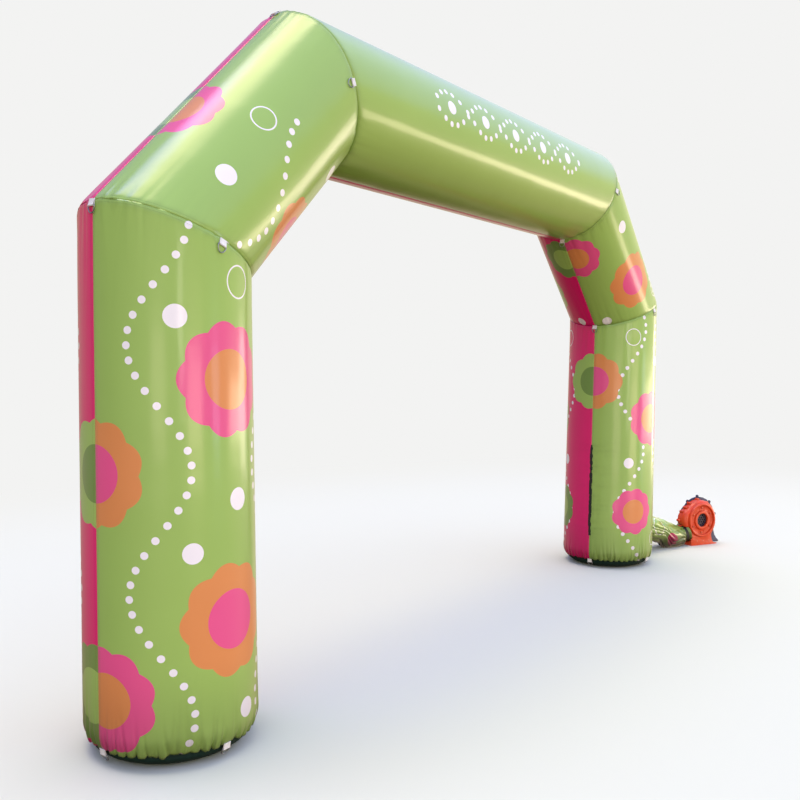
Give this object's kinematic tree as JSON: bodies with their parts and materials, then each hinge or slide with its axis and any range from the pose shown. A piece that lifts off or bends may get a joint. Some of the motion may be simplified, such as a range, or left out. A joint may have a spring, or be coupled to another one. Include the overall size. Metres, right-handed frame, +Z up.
{
  "type": "inflatable arch",
  "caption": "Inflatable entrance arch of mitred air-filled tube lengths on black cloth bases, with webbing loops and D-rings, a zip, an air sleeve and a snail blower.",
  "frame": {"origin": "middle of the bounding box's base, on the ground", "axes": "+X along the arch's width from the left leg to the right leg and its blower, +Y from the front of the arch to its back, +Z up"},
  "size_m": [6.8618, 0.9246, 3.5051],
  "materials": {
    "green_print": "glossy coated printed cloth, green ground",
    "pink_print": "glossy coated printed cloth, pink ground",
    "base_cloth": "heavy black coated cloth",
    "black_zip": "black zip tape and teeth",
    "sleeve_print": "thin glossy coated printed cloth, crinkled",
    "black_webbing": "woven black strap",
    "orange_moulding": "moulded orange plastic",
    "dark_moulding": "moulded dark blue-grey plastic",
    "dark_guard": "dark perforated guard",
    "white_webbing": "woven white webbing",
    "ring_steel": "dull grey steel wire"
  },
  "bodies": {
    "root": {"leg_left_front": "green_print", "leg_left_back": "pink_print", "shoulder_left_front": "green_print", "shoulder_left_back": "pink_print", "beam_front": "green_print", "beam_back": "pink_print", "shoulder_right_front": "green_print", "shoulder_right_back": "pink_print", "leg_right_front": "green_print", "leg_right_back": "pink_print", "cap_left": "base_cloth", "cap_right": "base_cloth", "zip": "black_zip", "air_sleeve": "sleeve_print", "sleeve_strap": "black_webbing", "blower_drum": "orange_moulding", "blower_inlet_plate": "orange_moulding", "blower_rear": "dark_moulding", "blower_motor": "dark_moulding", "blower_inlet_guard": "dark_guard", "web_beam_left_back": "white_webbing", "web_beam_left_front": "white_webbing", "web_beam_left_outer": "white_webbing", "web_beam_right_back": "white_webbing", "web_beam_right_front": "white_webbing", "web_beam_right_inner": "white_webbing", "web_knee_left_back": "white_webbing", "web_knee_left_front": "white_webbing", "web_knee_left_outer": "white_webbing", "web_knee_right_back": "white_webbing", "web_knee_right_front": "white_webbing", "web_knee_right_inner": "white_webbing", "web_foot_left_front": "white_webbing", "web_foot_left_back": "white_webbing", "web_foot_left_outer": "white_webbing", "web_foot_left_inner": "white_webbing", "web_foot_right_front": "white_webbing", "web_foot_right_back": "white_webbing", "web_foot_right_outer": "white_webbing", "web_foot_right_inner": "white_webbing", "ring_beam_left_back": "ring_steel", "ring_beam_left_front": "ring_steel", "ring_beam_left_outer": "ring_steel", "ring_beam_right_back": "ring_steel", "ring_beam_right_front": "ring_steel", "ring_beam_right_inner": "ring_steel", "ring_knee_left_back": "ring_steel", "ring_knee_left_front": "ring_steel", "ring_knee_left_outer": "ring_steel", "ring_knee_right_back": "ring_steel", "ring_knee_right_front": "ring_steel", "ring_knee_right_inner": "ring_steel", "ring_foot_left_front": "ring_steel", "ring_foot_left_back": "ring_steel", "ring_foot_left_outer": "ring_steel", "ring_foot_left_inner": "ring_steel", "ring_foot_right_front": "ring_steel", "ring_foot_right_back": "ring_steel", "ring_foot_right_outer": "ring_steel", "ring_foot_right_inner": "ring_steel"}
  },
  "joints": []
}
